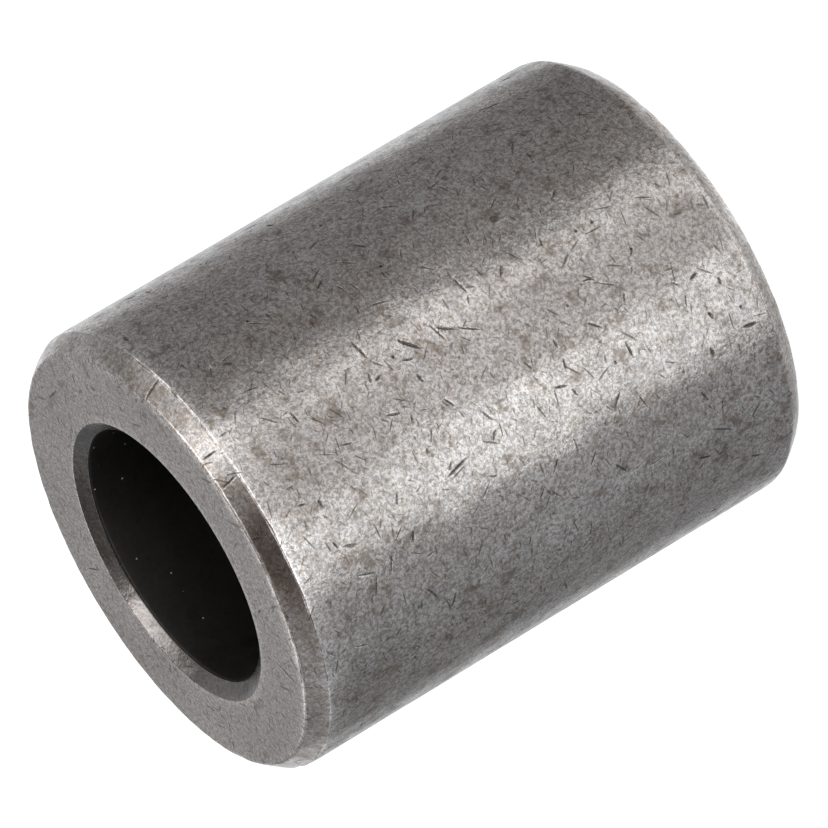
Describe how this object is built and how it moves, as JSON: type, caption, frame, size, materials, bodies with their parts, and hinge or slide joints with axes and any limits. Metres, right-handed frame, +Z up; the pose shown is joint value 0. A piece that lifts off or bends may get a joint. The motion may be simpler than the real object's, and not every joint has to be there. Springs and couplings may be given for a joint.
{
  "type": "plain bushing",
  "caption": "Plain cylindrical sleeve bushing in tumbled steel, with a straight through bore and bevelled ends inside and out.",
  "frame": {"origin": "centre of the lower end face, on the bore's axis", "axes": "+Z up along the bore's axis to the upper end face; X and Y are equal across the sleeve"},
  "size_m": [0.0278, 0.0278, 0.035],
  "materials": {
    "tumbled_steel": "tumbled satin grey steel with fine random scratches, small nicks and dark pits"
  },
  "bodies": {
    "root": {"bushing": "tumbled_steel"}
  },
  "joints": []
}
